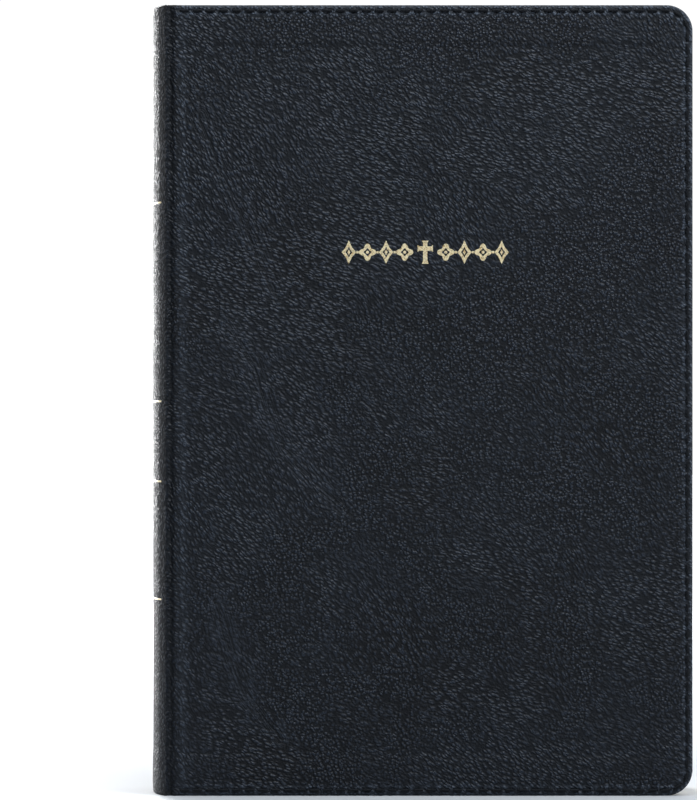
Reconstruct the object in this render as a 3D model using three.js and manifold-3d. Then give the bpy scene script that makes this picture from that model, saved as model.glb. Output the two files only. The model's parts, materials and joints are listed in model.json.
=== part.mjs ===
// A flexible leather-look bible, closed and standing on its tail edge.
// Millimetres. +Z runs up the height, the front cover faces -Y, the spine is at -X,
// the fore-edge at +X, and the origin is the middle of the footprint at the tail.
import * as THREE from 'three';
import { mergeVertices } from 'three/addons/utils/BufferGeometryUtils.js';
import Module from 'manifold-3d';

const wasm = await Module();
wasm.setup();

// driving dimensions: the whole book
const coverWidth = 161.2;        // fore-edge to the outermost point of the spine
const coverHeight = 235;         // head to tail
const bookThickness = 36;        // front face to back face
const spineBow = 4;              // how far the spine's middle stands out past its sides
const foreCornerRadius = 7.8;    // cover corners at the fore-edge
const spineCornerRadius = 1.5;   // cover corners beside the joint

// driving dimensions: the covers
const leatherSkin = 1;           // leather over the board, and round the spine
const boardThickness = 0.9;
const turnInThickness = 0.6;     // pared leather folded to the inside
const turnInWidth = 12;          // reach of the turn-in from the cover's edge
const foldWidth = 4;             // solid folded leather outside the board
const pastedownThickness = 0.2;
const pastedownInset = 5;

// driving dimensions: the book block
const square = 3;                // cover left showing past the page edges
const pageCornerRadius = 6.5;
const leafThickness = 0.3;
const gatheringThickness = 2.5;
const gatheringFoldRadius = 1;
const coreGatherings = 8;
const leavesPerSide = 4;

// driving dimensions: the spine's linings
const inlayThickness = 0.5;
const kraftThickness = 0.3;
const mullThickness = 0.3;
const sewingThickness = 0.4;
const sewingHeight = 0.6;
const sewingStations = 5;
const sewingMargin = 22;         // first station's distance from the head or tail of the block
const bandBead = 1.6;            // head and tail band's bead, square in section
const bandTape = 9;              // tape of the band glued down the back

// driving dimensions: trim
const stitchInset = 2;
const threadWidth = 0.8;
const threadDepth = 0.4;
const foilDepth = 0.15;
const spineRuleWidth = 0.45;
const spineRuleHeights = [58.3, 93.4, 117.2, 176.4];
const ornamentHeight = 161.5;    // middle of the ornament above the tail
const ornamentShift = 1.1;       // towards the fore-edge from the middle of the book
const ornamentLength = 49.6;
const ornamentTall = 6.8;
const ruleThick = 0.6;

// clearances
const glueLine = 0.1;            // between pieces that are glued flat
const cutGap = 0.3;              // round a piece sunk in another
const foilSink = 0.05;           // foil and thread lie this far under the leather's face
const hingeClear = 0.2;          // round the two hinge lines
const hollowBack = 0.4;          // between the spine inlay and the back of the block

// places worked out from the sizes
const halfThickness = bookThickness / 2;
const spineX = -coverWidth / 2;
const foreX = coverWidth / 2;
const hingeX = spineX + spineBow + leatherSkin + hingeClear;
const coverX = hingeX + hingeClear / 2;
const coverThickness = leatherSkin + boardThickness + 2 * glueLine + turnInThickness;
const blockTail = square;
const blockHead = coverHeight - square;
const spineRadius = (halfThickness ** 2 + spineBow ** 2) / (2 * spineBow);
const arcCentreX = spineX + spineRadius;

// radii of the layers round the spine, outer face of each
const inlayRadius = spineRadius - leatherSkin - glueLine;
const kraftRadius = inlayRadius - inlayThickness - hollowBack;
const mullRadius = kraftRadius - kraftThickness - glueLine;
const sewingRadius = mullRadius - mullThickness - glueLine;
const backRadius = sewingRadius - sewingThickness - glueLine;

// depths of the layers inside a cover, measured in from the cover's outer face
const pastedownDepth = coverThickness + glueLine;
const flyleafDepth = pastedownDepth + pastedownThickness + glueLine;
const outerGatheringDepth = flyleafDepth + leafThickness + glueLine;
const firstLeafDepth = outerGatheringDepth + gatheringThickness + glueLine;
const leafPitch = leafThickness + glueLine;
const coreDepth = firstLeafDepth + leavesPerSide * leafPitch;
const coreHalf = halfThickness - coreDepth;
const corePitch = 2 * coreHalf / coreGatherings;
const blockHalf = halfThickness - flyleafDepth;

const finishes = {
  leather: { color: 0x262b32, roughness: 0.5, metalness: 0 },
  board: { color: 0x8a7f6c, roughness: 0.9, metalness: 0 },
  lining: { color: 0x3a3d42, roughness: 0.9, metalness: 0 },
  endpaper: { color: 0x20262f, roughness: 0.8, metalness: 0 },
  page: { color: 0xefe9d8, roughness: 0.85, metalness: 0 },
  thread: { color: 0x1d222a, roughness: 0.7, metalness: 0 },
  sewing: { color: 0xe8e2d2, roughness: 0.8, metalness: 0 },
  cloth: { color: 0xd8d2c2, roughness: 0.95, metalness: 0 },
  kraft: { color: 0xa98a60, roughness: 0.9, metalness: 0 },
  band: { color: 0xc9a24a, roughness: 0.7, metalness: 0 },
  foil: { color: 0xdcc58a, roughness: 0.3, metalness: 1 },
};

const bible = new THREE.Group();

function addPiece(name, geometry, finish) {
  const mesh = new THREE.Mesh(geometry, new THREE.MeshStandardMaterial(finishes[finish]));
  mesh.name = name;
  bible.add(mesh);
}

// solids for cutting and joining
function toSolid(geometry) {
  const bare = geometry.clone();
  bare.deleteAttribute('normal');
  bare.deleteAttribute('uv');
  const merged = mergeVertices(bare, 1e-4);
  return new wasm.Manifold(new wasm.Mesh({
    numProp: 3,
    vertProperties: new Float32Array(merged.attributes.position.array),
    triVerts: new Uint32Array(merged.index.array),
  }));
}

function toGeometry(solid) {
  const mesh = solid.getMesh();
  const geometry = new THREE.BufferGeometry();
  geometry.setAttribute('position', new THREE.BufferAttribute(mesh.vertProperties, 3));
  geometry.setIndex(new THREE.BufferAttribute(mesh.triVerts, 1));
  geometry.computeVertexNormals();
  return geometry;
}

// an outline drawn in X and Z, given thickness between two places in Y
function plate(outline, yLow, yHigh) {
  const settings = { depth: yHigh - yLow, bevelEnabled: false, curveSegments: 8 };
  const geometry = new THREE.ExtrudeGeometry(outline, settings);
  geometry.rotateX(Math.PI / 2);
  geometry.translate(0, yHigh, 0);
  return geometry;
}

// the same, measured in from the front face (side -1) or the back face (side 1)
function layer(outline, side, depth, thickness) {
  const outer = side * (halfThickness - depth);
  const inner = side * (halfThickness - depth - thickness);
  return plate(outline, Math.min(outer, inner), Math.max(outer, inner));
}

// a rectangle with its own radius at the spine side and at the fore-edge side
function panel(xLow, xHigh, zLow, zHigh, spineR, foreR) {
  const shape = new THREE.Shape();
  shape.moveTo(xLow + spineR, zLow);
  shape.lineTo(xHigh - foreR, zLow);
  if (foreR > 0) shape.absarc(xHigh - foreR, zLow + foreR, foreR, -Math.PI / 2, 0);
  shape.lineTo(xHigh, zHigh - foreR);
  if (foreR > 0) shape.absarc(xHigh - foreR, zHigh - foreR, foreR, 0, Math.PI / 2);
  shape.lineTo(xLow + spineR, zHigh);
  if (spineR > 0) shape.absarc(xLow + spineR, zHigh - spineR, spineR, Math.PI / 2, Math.PI);
  shape.lineTo(xLow, zLow + spineR);
  if (spineR > 0) shape.absarc(xLow + spineR, zLow + spineR, spineR, Math.PI, Math.PI * 1.5);
  return shape;
}

// the cover's outline brought in from head, fore-edge and tail, starting at xLow
function coverPanel(inset, xLow, spineR = 0) {
  const radius = Math.max(foreCornerRadius - inset, 0.5);
  return panel(xLow, foreX - inset, inset, coverHeight - inset, spineR, radius);
}

// half the angle of a layer round the spine that ends just short of the hinge lines
function reachAngle(innerRadius) {
  return Math.acos((arcCentreX - hingeX + hingeClear) / innerRadius);
}

// a strip bent round the spine, between two heights
function bentStrip(outerRadius, thickness, halfAngle, zLow, zHigh) {
  const inner = outerRadius - thickness;
  const shape = new THREE.Shape();
  shape.absarc(arcCentreX, 0, outerRadius, Math.PI - halfAngle, Math.PI + halfAngle);
  shape.absarc(arcCentreX, 0, inner, Math.PI + halfAngle, Math.PI - halfAngle, true);
  const settings = { depth: zHigh - zLow, bevelEnabled: false, curveSegments: 12 };
  const geometry = new THREE.ExtrudeGeometry(shape, settings);
  geometry.translate(0, 0, zLow);
  return geometry;
}

// the block's rounded back, and the fore-edge that follows it
function backAt(y) {
  return arcCentreX - Math.sqrt(backRadius ** 2 - y ** 2);
}

function foreEdgeAt(y) {
  return foreX - square - (backAt(blockHalf) - backAt(y));
}

// foil ornament outlines, each drawn larger by grow for the recess it sits in
const ornamentX = ornamentShift;
const crossHalf = ornamentTall * 0.33;
const crossArm = 0.6;
const crossBarHeight = ornamentTall * 0.16;
const ruleStart = 4;
const motifCount = 4;
const lozengeHalfWidth = 2.1;
const rosetteRadius = 1.9;
const lozengeHole = 0.5;

function crossOutline(grow) {
  const arm = crossArm + grow;
  const reach = crossHalf + grow;
  const top = ornamentTall / 2 + grow;
  const points = [
    [arm, -top], [arm, crossBarHeight - arm], [reach, crossBarHeight - arm],
    [reach, crossBarHeight + arm], [arm, crossBarHeight + arm], [arm, top],
  ];
  const mirrored = points.map(([x, z]) => [-x, z]).reverse();
  const place = ([x, z]) => new THREE.Vector2(ornamentX + x, ornamentHeight + z);
  return new THREE.Shape([...points, ...mirrored].map(place));
}

function lozengeOutline(centreX, grow) {
  const wide = lozengeHalfWidth + grow;
  const tall = ornamentTall / 2 + grow;
  const points = [[wide, 0], [0, tall], [-wide, 0], [0, -tall]];
  return new THREE.Shape(points.map(([x, z]) => new THREE.Vector2(centreX + x, ornamentHeight + z)));
}

function rosetteOutline(centreX, grow) {
  const shape = new THREE.Shape();
  const steps = 24;
  for (let i = 0; i < steps; i += 1) {
    const angle = i / steps * 2 * Math.PI;
    const radius = rosetteRadius * (1 + 0.28 * Math.cos(4 * angle)) + grow;
    const x = centreX + radius * Math.cos(angle);
    const z = ornamentHeight + radius * Math.sin(angle);
    if (i === 0) shape.moveTo(x, z);
    else shape.lineTo(x, z);
  }
  shape.closePath();
  return shape;
}

// a rule with lozenges and rosettes strung on it, side -1 left and 1 right of the cross
function beadedRule(side, grow, yLow, yHigh) {
  const near = ornamentX + side * (ruleStart - grow);
  const far = ornamentX + side * (ornamentLength / 2 - lozengeHalfWidth);
  const thick = ruleThick / 2 + grow;
  const line = panel(Math.min(near, far), Math.max(near, far),
    ornamentHeight - thick, ornamentHeight + thick, 0, 0);
  let solid = toSolid(plate(line, yLow, yHigh));
  const first = ruleStart + lozengeHalfWidth;
  const last = ornamentLength / 2 - lozengeHalfWidth;
  for (let i = 0; i < motifCount; i += 1) {
    const x = ornamentX + side * (first + (last - first) * i / (motifCount - 1));
    const draw = i % 2 === 0 ? rosetteOutline : lozengeOutline;
    solid = solid.add(toSolid(plate(draw(x, grow), yLow, yHigh)));
    const hole = new THREE.Shape();
    hole.absarc(x, ornamentHeight, lozengeHole, 0, 2 * Math.PI);
    if (grow === 0) solid = solid.subtract(toSolid(plate(hole, yLow - 1, yHigh + 1)));
  }
  return solid;
}

// the perimeter run of stitching: along the head, the fore-edge and the tail
function stitchRun(side, grow, depth, thickness) {
  const half = threadWidth / 2 + grow;
  const start = coverX + foldWidth - grow;
  const outer = coverPanel(stitchInset - half, start);
  const inner = coverPanel(stitchInset + half, start - 1);
  const over = 1;
  const band = toSolid(layer(outer, side, depth, thickness));
  return band.subtract(toSolid(layer(inner, side, depth - over, thickness + 2 * over)));
}

// one cover: leather with turn-ins, board, lining, pastedown and stitching
function buildCover(label, side) {
  const innerDepth = leatherSkin + 2 * glueLine + boardThickness;
  let leather = toSolid(layer(coverPanel(0, coverX, spineCornerRadius), side, 0, coverThickness));
  const pocket = coverPanel(foldWidth, coverX + foldWidth);
  leather = leather.subtract(toSolid(layer(pocket, side, leatherSkin, innerDepth - leatherSkin)));
  const opening = coverPanel(turnInWidth, coverX + foldWidth);
  leather = leather.subtract(toSolid(layer(opening, side, leatherSkin, coverThickness)));
  const groove = stitchRun(side, cutGap, -1, 1 + foilSink + threadDepth + cutGap);
  leather = leather.subtract(groove);
  if (side < 0) leather = leather.subtract(ornamentRecess());
  addPiece(`${label}_leather`, toGeometry(leather), 'leather');

  const board = coverPanel(foldWidth + cutGap, coverX + foldWidth + cutGap);
  addPiece(`${label}_board`, layer(board, side, leatherSkin + glueLine, boardThickness), 'board');
  const lining = coverPanel(turnInWidth + cutGap, coverX + foldWidth + cutGap);
  addPiece(`${label}_lining`, layer(lining, side, innerDepth, turnInThickness), 'lining');
  const pastedown = coverPanel(pastedownInset, coverX);
  addPiece(`${label}_pastedown`, layer(pastedown, side, pastedownDepth, pastedownThickness), 'endpaper');
  addPiece(`${label}_stitching`, toGeometry(stitchRun(side, 0, foilSink, threadDepth)), 'thread');
}

// the foil ornament on the front, and the shallow recess stamped for it
function ornamentRecess() {
  const low = -halfThickness - 1;
  const high = -halfThickness + foilSink + foilDepth + cutGap;
  const cross = toSolid(plate(crossOutline(cutGap), low, high));
  return cross.add(beadedRule(-1, cutGap, low, high)).add(beadedRule(1, cutGap, low, high));
}

function buildOrnament() {
  const low = -halfThickness + foilSink;
  const high = low + foilDepth;
  addPiece('foil_cross', plate(crossOutline(0), low, high), 'foil');
  addPiece('foil_rule_left', toGeometry(beadedRule(-1, 0, low, high)), 'foil');
  addPiece('foil_rule_right', toGeometry(beadedRule(1, 0, low, high)), 'foil');
}

// spine leather with its foil rules, and the inlay strip behind it
function buildSpine() {
  const spineAngle = Math.asin(halfThickness / spineRadius);
  const ruleAngle = spineAngle * 0.86;
  const ruleRadius = spineRadius - foilSink;
  let leather = toSolid(bentStrip(spineRadius, leatherSkin, spineAngle, 0, coverHeight));
  spineRuleHeights.forEach((height, index) => {
    const low = height - spineRuleWidth / 2;
    const high = height + spineRuleWidth / 2;
    const thickness = foilSink + foilDepth + cutGap;
    const groove = bentStrip(spineRadius + 1, 1 + thickness, ruleAngle * 1.02, low - cutGap, high + cutGap);
    leather = leather.subtract(toSolid(groove));
    const rule = bentStrip(ruleRadius, foilDepth, ruleAngle, low, high);
    addPiece(`spine_foil_rule_${index + 1}`, rule, 'foil');
  });
  addPiece('spine_leather', toGeometry(leather), 'leather');
  const inlayAngle = reachAngle(inlayRadius - inlayThickness);
  const inlay = bentStrip(inlayRadius, inlayThickness, inlayAngle, square, coverHeight - square);
  addPiece('spine_inlay', inlay, 'lining');
}

// kraft paper, mull and sewing thread on the back of the block, and the two woven bands
function buildBackLinings() {
  const kraftAngle = reachAngle(kraftRadius - kraftThickness);
  const kraft = bentStrip(kraftRadius, kraftThickness, kraftAngle, blockTail + 6, blockHead - 6);
  addPiece('kraft_lining', kraft, 'kraft');
  const mullAngle = reachAngle(mullRadius - mullThickness);
  addPiece('mull', bentStrip(mullRadius, mullThickness, mullAngle, blockTail + 12, blockHead - 12), 'cloth');
  const sewingAngle = Math.asin(coreHalf / sewingRadius);
  const stationPitch = (blockHead - blockTail - 2 * sewingMargin) / (sewingStations - 1);
  for (let i = 0; i < sewingStations; i += 1) {
    const low = blockTail + sewingMargin + i * stationPitch;
    const run = bentStrip(sewingRadius, sewingThickness, sewingAngle, low, low + sewingHeight);
    addPiece(`sewing_thread_${i + 1}`, run, 'sewing');
  }
  buildBand('head_band', blockHead, 1);
  buildBand('tail_band', blockTail, -1);
}

// a bead over the block's edge with a tape glued down its back
function buildBand(name, edge, up) {
  const angle = reachAngle(sewingRadius - sewingThickness);
  const beadOuter = sewingRadius;
  const beadEnd = edge + up * (glueLine + bandBead);
  const beadStart = edge + up * glueLine;
  const tapeEnd = edge - up * bandTape;
  const bead = bentStrip(beadOuter, bandBead, angle, Math.min(beadStart, beadEnd), Math.max(beadStart, beadEnd));
  const joint = beadStart + up * bandBead / 2;
  const tape = bentStrip(beadOuter, sewingThickness, angle, Math.min(tapeEnd, joint), Math.max(tapeEnd, joint));
  addPiece(name, toGeometry(toSolid(bead).add(toSolid(tape))), 'band');
}

// a page-sized plate between two depths from a cover's face, its corners rounded at the fore-edge
function pagePlate(side, depth, thickness, xLow) {
  const outerY = halfThickness - depth;
  const outline = panel(xLow, foreEdgeAt(outerY - thickness), blockTail, blockHead, 0, pageCornerRadius);
  return layer(outline, side, depth, thickness);
}

// pieces that turn with a cover start just inside its hinge line
function turningPage(side, depth, thickness) {
  const outerY = halfThickness - depth;
  return pagePlate(side, depth, thickness, Math.max(hingeX + cutGap, backAt(outerY)));
}

function buildTurningPages(label, side) {
  addPiece(`${label}_flyleaf`, turningPage(side, flyleafDepth, leafThickness), 'endpaper');
  const gathering = turningPage(side, outerGatheringDepth, gatheringThickness);
  addPiece(`${label}_gathering`, gathering, 'page');
  for (let i = 0; i < leavesPerSide; i += 1) {
    const leaf = turningPage(side, firstLeafDepth + i * leafPitch, leafThickness);
    addPiece(`${label}_leaf_${i + 1}`, leaf, 'page');
  }
}

// the middle gatherings, each folded at the back and stepped to round the block
function foldProfile(xLow, yLow, yHigh) {
  const radius = Math.min(gatheringFoldRadius, (yHigh - yLow) / 2 - 0.05);
  const shape = new THREE.Shape();
  shape.moveTo(foreX, yLow);
  shape.lineTo(foreX, yHigh);
  shape.lineTo(xLow + radius, yHigh);
  shape.absarc(xLow + radius, yHigh - radius, radius, Math.PI / 2, Math.PI);
  shape.lineTo(xLow, yLow + radius);
  shape.absarc(xLow + radius, yLow + radius, radius, Math.PI, Math.PI * 1.5);
  shape.closePath();
  const settings = { depth: coverHeight, bevelEnabled: false, curveSegments: 4 };
  return new THREE.ExtrudeGeometry(shape, settings);
}

function buildCoreGatherings() {
  for (let i = 0; i < coreGatherings; i += 1) {
    const yLow = -coreHalf + i * corePitch;
    const yHigh = yLow + corePitch - glueLine;
    const outerY = Math.max(Math.abs(yLow), Math.abs(yHigh));
    const xLow = backAt(outerY);
    const outline = panel(xLow - 1, foreEdgeAt((yLow + yHigh) / 2), blockTail, blockHead, 0, pageCornerRadius);
    const block = toSolid(plate(outline, yLow, yHigh));
    const folded = block.intersect(toSolid(foldProfile(xLow, yLow, yHigh)));
    addPiece(`core_gathering_${i + 1}`, toGeometry(folded), 'page');
  }
}

for (const [label, side] of [['front', -1], ['back', 1]]) {
  buildCover(label, side);
  buildTurningPages(label, side);
}
buildOrnament();
buildSpine();
buildBackLinings();
buildCoreGatherings();

export default bible;
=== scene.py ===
import json
import math

import bmesh
import bpy
import numpy as np
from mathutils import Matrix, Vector


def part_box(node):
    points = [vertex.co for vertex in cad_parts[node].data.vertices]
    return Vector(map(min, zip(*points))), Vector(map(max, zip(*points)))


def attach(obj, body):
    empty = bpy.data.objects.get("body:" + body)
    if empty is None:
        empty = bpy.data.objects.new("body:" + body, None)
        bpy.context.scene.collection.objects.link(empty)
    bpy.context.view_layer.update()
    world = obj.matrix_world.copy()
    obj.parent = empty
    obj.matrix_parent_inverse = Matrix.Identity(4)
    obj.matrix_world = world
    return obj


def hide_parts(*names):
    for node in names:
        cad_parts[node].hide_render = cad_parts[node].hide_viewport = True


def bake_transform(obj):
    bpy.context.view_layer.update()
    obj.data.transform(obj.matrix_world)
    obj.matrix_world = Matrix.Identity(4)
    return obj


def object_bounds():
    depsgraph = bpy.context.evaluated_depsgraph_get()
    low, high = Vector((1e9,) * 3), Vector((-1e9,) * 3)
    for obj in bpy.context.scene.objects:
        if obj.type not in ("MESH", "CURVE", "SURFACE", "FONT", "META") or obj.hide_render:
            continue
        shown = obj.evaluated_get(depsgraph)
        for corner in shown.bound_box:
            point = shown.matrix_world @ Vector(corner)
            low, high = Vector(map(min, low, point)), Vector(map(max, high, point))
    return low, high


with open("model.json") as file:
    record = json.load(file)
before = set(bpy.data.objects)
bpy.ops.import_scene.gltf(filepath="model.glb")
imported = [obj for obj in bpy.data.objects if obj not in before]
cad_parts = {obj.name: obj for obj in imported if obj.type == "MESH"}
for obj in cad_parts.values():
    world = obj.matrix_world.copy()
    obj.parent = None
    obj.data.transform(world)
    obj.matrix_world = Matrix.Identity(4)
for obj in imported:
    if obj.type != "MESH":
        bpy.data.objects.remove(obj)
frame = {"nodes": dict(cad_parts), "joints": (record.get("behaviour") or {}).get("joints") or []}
cadLow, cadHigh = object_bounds()
mm = 0.001

# where the book stands, read from the frame and kept in millimetres
book = {
    "spineX": cadLow.x / mm,
    "foreX": cadHigh.x / mm,
    "halfThick": cadHigh.y / mm,
    "height": cadHigh.z / mm,
}
hinge = next(j for j in frame["joints"] if j["name"] == "front_cover_hinge")
book["hingeX"] = hinge["pos_m"][0] / mm


def smooth(low, high, value):
    t = np.clip((value - low) / (high - low), 0, 1)
    return t * t * (3 - 2 * t)


def bell(value, centre, width):
    return np.exp(-((value - centre) / width) ** 2)


def roundFall(radius, away):
    # how far a rounded edge has fallen, by the distance in from it
    inside = np.clip(radius - away, 0, None)
    return radius - np.sqrt(np.maximum(radius ** 2 - inside ** 2, 0))


def waviness(x, z, seed, size, count=7):
    # a sum of a few long random waves, about -1 to 1
    draw = np.random.default_rng(seed)
    total = 0
    for _ in range(count):
        angle = draw.uniform(0, 2 * math.pi)
        length = size * draw.uniform(0.6, 1.7)
        phase = draw.uniform(0, 2 * math.pi)
        total = total + np.sin((x * math.cos(angle) + z * math.sin(angle)) * 2 * math.pi / length + phase)
    return total / count * 1.4


def steps(low, high, pitch):
    return np.linspace(low, high, max(2, int(round((high - low) / pitch)) + 1))


def joined(*runs):
    # runs that share their end points, as one rising list
    return np.unique(np.round(np.concatenate(runs), 5))


def placed(name, data):
    piece = bpy.data.objects.new(name, data)
    bpy.context.scene.collection.objects.link(piece)
    return piece


def plainMesh(holder):
    # the finished mesh of a curve or a node tree; what made it is removed
    graph = bpy.context.evaluated_depsgraph_get()
    mesh = bpy.data.meshes.new_from_object(holder.evaluated_get(graph))
    bpy.data.objects.remove(holder)
    return mesh


def addMesh(name, points, faces, material, edgeAngle=40):
    mesh = bpy.data.meshes.new(name)
    mesh.from_pydata([tuple(p) for p in np.asarray(points) * mm], [], [tuple(f) for f in faces])
    mesh.materials.append(material)
    mesh.polygons.foreach_set("use_smooth", np.ones(len(mesh.polygons), bool))
    mesh.set_sharp_from_angle(angle=math.radians(edgeAngle))
    return placed(name, mesh)


def keepPlace(piece):
    # the place at rest, for patterns on pieces that bend
    mesh = piece.data
    place = mesh.attributes.new("restPlace", "FLOAT_VECTOR", "POINT")
    flat = np.zeros(len(mesh.vertices) * 3, np.float32)
    mesh.vertices.foreach_get("co", flat)
    place.data.foreach_set("vector", flat)


def keepNumber(piece, name, values):
    place = piece.data.attributes.new(name, "FLOAT", "POINT")
    place.data.foreach_set("value", np.asarray(values, np.float32).ravel())


def keepBoth(piece, name, outer, underShare=1.0):
    # a number for each place on a sheet's outer face and the one under it
    keepNumber(piece, name, np.concatenate([outer.ravel(), outer.ravel() * underShare]))


def rim(grid):
    # the border of a grid of points, once round
    return np.concatenate([grid[:, 0], grid[-1, 1:], grid[-2::-1, -1], grid[0, -2:0:-1]])


def slabFaces(rows, columns, rings):
    # two grids joined round their border by a number of rings
    index = np.arange(rows * columns).reshape(rows, columns)
    a = index[:-1, :-1].ravel()
    b = index[1:, :-1].ravel()
    c = index[1:, 1:].ravel()
    d = index[:-1, 1:].ravel()
    total = rows * columns
    nearFaces = np.stack([a, b, c, d], 1)
    farFaces = np.stack([d, c, b, a], 1) + total
    border = rim(index)
    loops = [border]
    for ring in range(rings):
        loops.append(2 * total + ring * len(border) + np.arange(len(border)))
    loops.append(border + total)
    walls = []
    for first, second in zip(loops[:-1], loops[1:]):
        walls.append(np.stack([np.roll(first, -1), first, second, np.roll(second, -1)], 1))
    return np.concatenate([nearFaces, farFaces] + walls)


def addSlab(name, near, far, rings, material, edgeAngle=40):
    rows, columns = near.shape[:2]
    faces = slabFaces(rows, columns, len(rings))
    points = np.concatenate([near.reshape(-1, 3), far.reshape(-1, 3)] + list(rings))
    corner = points[faces]
    volume = np.einsum("ij,ij->i", corner[:, 0], np.cross(corner[:, 1], corner[:, 2])).sum()
    volume += np.einsum("ij,ij->i", corner[:, 0], np.cross(corner[:, 2], corner[:, 3])).sum()
    if volume < 0:
        faces = faces[:, ::-1]
    return addMesh(name, points, faces, material, edgeAngle)


# one output socket, with arithmetic
class Wire:
    def __init__(self, shade, socket):
        self.shade = shade
        self.socket = socket

    def __add__(self, other):
        return self.shade.maths("ADD", self, other)

    def __sub__(self, other):
        return self.shade.maths("SUBTRACT", self, other)

    def __rsub__(self, other):
        return self.shade.maths("SUBTRACT", other, self)

    def __mul__(self, other):
        return self.shade.maths("MULTIPLY", self, other)

    def __truediv__(self, other):
        return self.shade.maths("DIVIDE", self, other)

    def __gt__(self, other):
        return self.shade.maths("GREATER_THAN", self, other)

    def __abs__(self):
        return self.shade.maths("ABSOLUTE", self)

    __radd__ = __add__
    __rmul__ = __mul__


# builds the nodes of one material
class Shade:
    def __init__(self, name):
        self.material = bpy.data.materials.new(name)
        self.material.use_nodes = True
        self.tree = self.material.node_tree
        self.surface = self.tree.nodes["Principled BSDF"]

    def put(self, socket, value):
        if isinstance(value, Wire):
            self.tree.links.new(value.socket, socket)
        elif value is not None:
            socket.default_value = value

    def node(self, kind, settings=None, sockets=None, out=0):
        made = self.tree.nodes.new(kind)
        for key, value in (settings or {}).items():
            setattr(made, key, value)
        for key, value in (sockets or {}).items():
            self.put(made.inputs[key], value)
        return Wire(self, made.outputs[out])

    def maths(self, operation, first, second=None):
        return self.node("ShaderNodeMath", {"operation": operation}, {0: first, 1: second})

    def place(self, attribute=None):
        # where the point is, in millimetres
        if attribute:
            found = self.node("ShaderNodeAttribute", {"attribute_name": attribute}, out="Vector")
        else:
            found = self.node("ShaderNodeTexCoord", out="Object")
        return self.scaled(found, 1 / mm)

    def scaled(self, vector, by):
        size = (by, by, by) if isinstance(by, (int, float)) else by
        return self.node("ShaderNodeVectorMath", {"operation": "MULTIPLY"}, {0: vector, 1: size})

    def moved(self, vector, by):
        return self.node("ShaderNodeVectorMath", {"operation": "ADD"}, {0: vector, 1: by})

    def turned(self, vector, angles):
        return self.node("ShaderNodeMapping", None, {"Vector": vector, "Rotation": angles})

    def spot(self, x, y, z=0.0):
        return self.node("ShaderNodeCombineXYZ", None, {0: x, 1: y, 2: z})

    def apart(self, vector):
        made = self.tree.nodes.new("ShaderNodeSeparateXYZ")
        self.put(made.inputs[0], vector)
        return [Wire(self, made.outputs[i]) for i in range(3)]

    def number(self, attribute):
        return self.node("ShaderNodeAttribute", {"attribute_name": attribute}, out="Fac")

    def noise(self, vector, scale, detail=2.0, roughness=0.5, out="Fac"):
        sockets = {"Vector": vector, "Scale": scale, "Detail": detail, "Roughness": roughness}
        return self.node("ShaderNodeTexNoise", None, sockets, out)

    def cells(self, vector, scale, feature="F1", randomness=1.0, out="Distance"):
        sockets = {"Vector": vector, "Scale": scale, "Randomness": randomness}
        return self.node("ShaderNodeTexVoronoi", {"feature": feature}, sockets, out)

    def wave(self, vector, scale, distortion=0.0, direction="Y"):
        settings = {"wave_type": "BANDS", "bands_direction": direction}
        sockets = {"Vector": vector, "Scale": scale, "Distortion": distortion, "Detail": 2.0}
        return self.node("ShaderNodeTexWave", settings, sockets, "Fac")

    def fit(self, value, low, high, toLow=0.0, toHigh=1.0):
        settings = {"interpolation_type": "SMOOTHSTEP"}
        sockets = {0: value, 1: low, 2: high, 3: toLow, 4: toHigh}
        return self.node("ShaderNodeMapRange", settings, sockets)

    def between(self, value, start, full, fading, end):
        # 1 inside a stretch and 0 outside it, soft at both ends
        return self.fit(value, start, full) * (1 - self.fit(value, fading, end))

    def colours(self, fac, first, second):
        return self.node("ShaderNodeMix", {"data_type": "RGBA"}, {0: fac, 6: first, 7: second}, 2)

    def bump(self, height, depth, strength=1.0, before=None):
        sockets = {"Height": height, "Distance": depth * mm, "Strength": strength, "Normal": before}
        return self.node("ShaderNodeBump", None, sockets)

    def finish(self, **sockets):
        for key, value in sockets.items():
            self.put(self.surface.inputs[key.replace("_", " ")], value)
        return self.material


def tint(r, g, b):
    # a colour as seen on a screen, 0 to 255, to a shader colour
    def straight(v):
        v = v / 255
        return v / 12.92 if v <= 0.04045 else ((v + 0.055) / 1.055) ** 2.4
    return (straight(r), straight(g), straight(b), 1)


leatherLook = {
    "top": tint(33, 41, 53),
    # painted shade colour: for the pebble valleys, the seams and the needle holes
    "valleyShade": tint(9, 13, 19),
    "worn": tint(36, 46, 58),
    # worn colour for the rim, and painted highlight colour for the stitch lip, the stitch gaps and the fold
    # crests
    "wearAndHighlightTint": tint(84, 94, 108),
    "grain": 1.08,           # pebbles to a millimetre
    "grainDepth": 0.4,
    "poreDepth": 0.03,
    "roughness": 0.48,
    "shine": 0.27,
    # patches of short wrinkles: their lean, and the size and place of the patches
    "wrinkles": [(0.95, 0.03, 3.0), (0.6, 0.026, 41.0), (1.25, 0.024, 87.0)],
}


def domes(shade, place):
    # round pebble tops, falling away to sharp valleys
    return 1 - shade.fit(shade.cells(place, leatherLook["grain"], "F1"), 0.1, 0.78)


def leatherGrain(shade, place):
    # pebbles, drawn out into short wrinkles in patches
    drift = shade.moved(shade.noise(place, 0.5, 2.0, out="Color"), (-0.5, -0.5, -0.5))
    bent = shade.moved(place, shade.scaled(drift, 0.9))
    height = domes(shade, bent)
    for lean, size, offset in leatherLook["wrinkles"]:
        drawn = shade.scaled(shade.turned(bent, (0, lean, 0)), (1.12, 1.0, 0.6))
        where = shade.noise(shade.moved(place, (offset, 0, offset)), size, 2.0)
        height = height + (domes(shade, drawn) - height) * shade.fit(where, 0.5, 0.6)
    return height


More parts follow.
